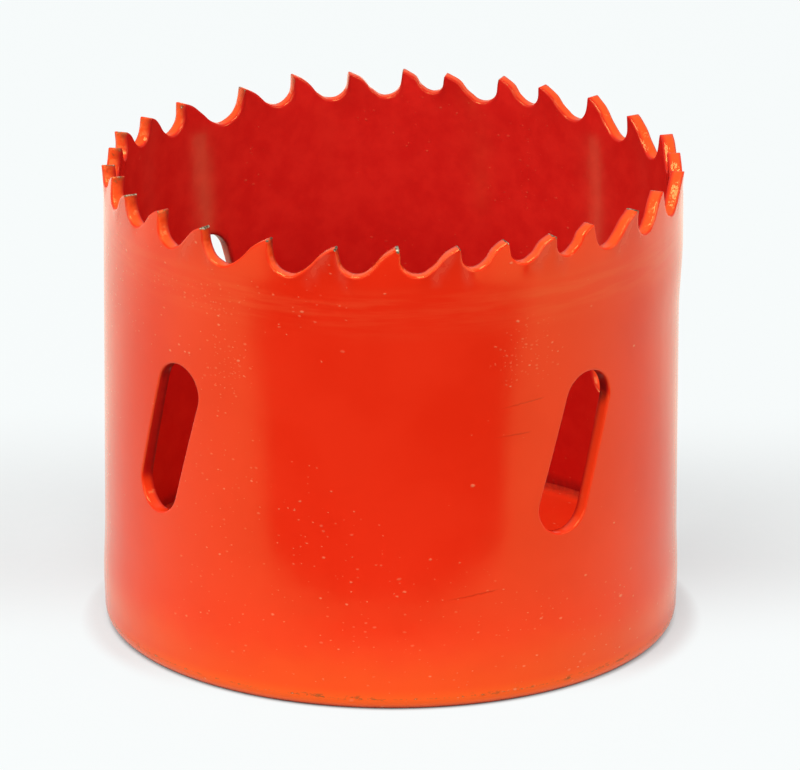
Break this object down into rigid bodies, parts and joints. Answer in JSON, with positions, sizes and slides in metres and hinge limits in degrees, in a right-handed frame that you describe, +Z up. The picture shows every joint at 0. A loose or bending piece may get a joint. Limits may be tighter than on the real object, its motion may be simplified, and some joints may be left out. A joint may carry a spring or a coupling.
{
  "type": "hole saw",
  "caption": "Red enamelled steel cup saw with set teeth round its rim, slanted chip slots through its wall and a threaded end cap for an arbor.",
  "frame": {"origin": "centre of the base, where the end cap stands on the floor", "axes": "+Z up the cutting axis, from the end cap towards the teeth; -Y out through the first of the four slots"},
  "size_m": [0.0512, 0.0513, 0.0426],
  "materials": {
    "enamel": "gloss"
  },
  "bodies": {
    "root": {"saw_body": "enamel", "end_cap": "enamel"}
  },
  "joints": []
}
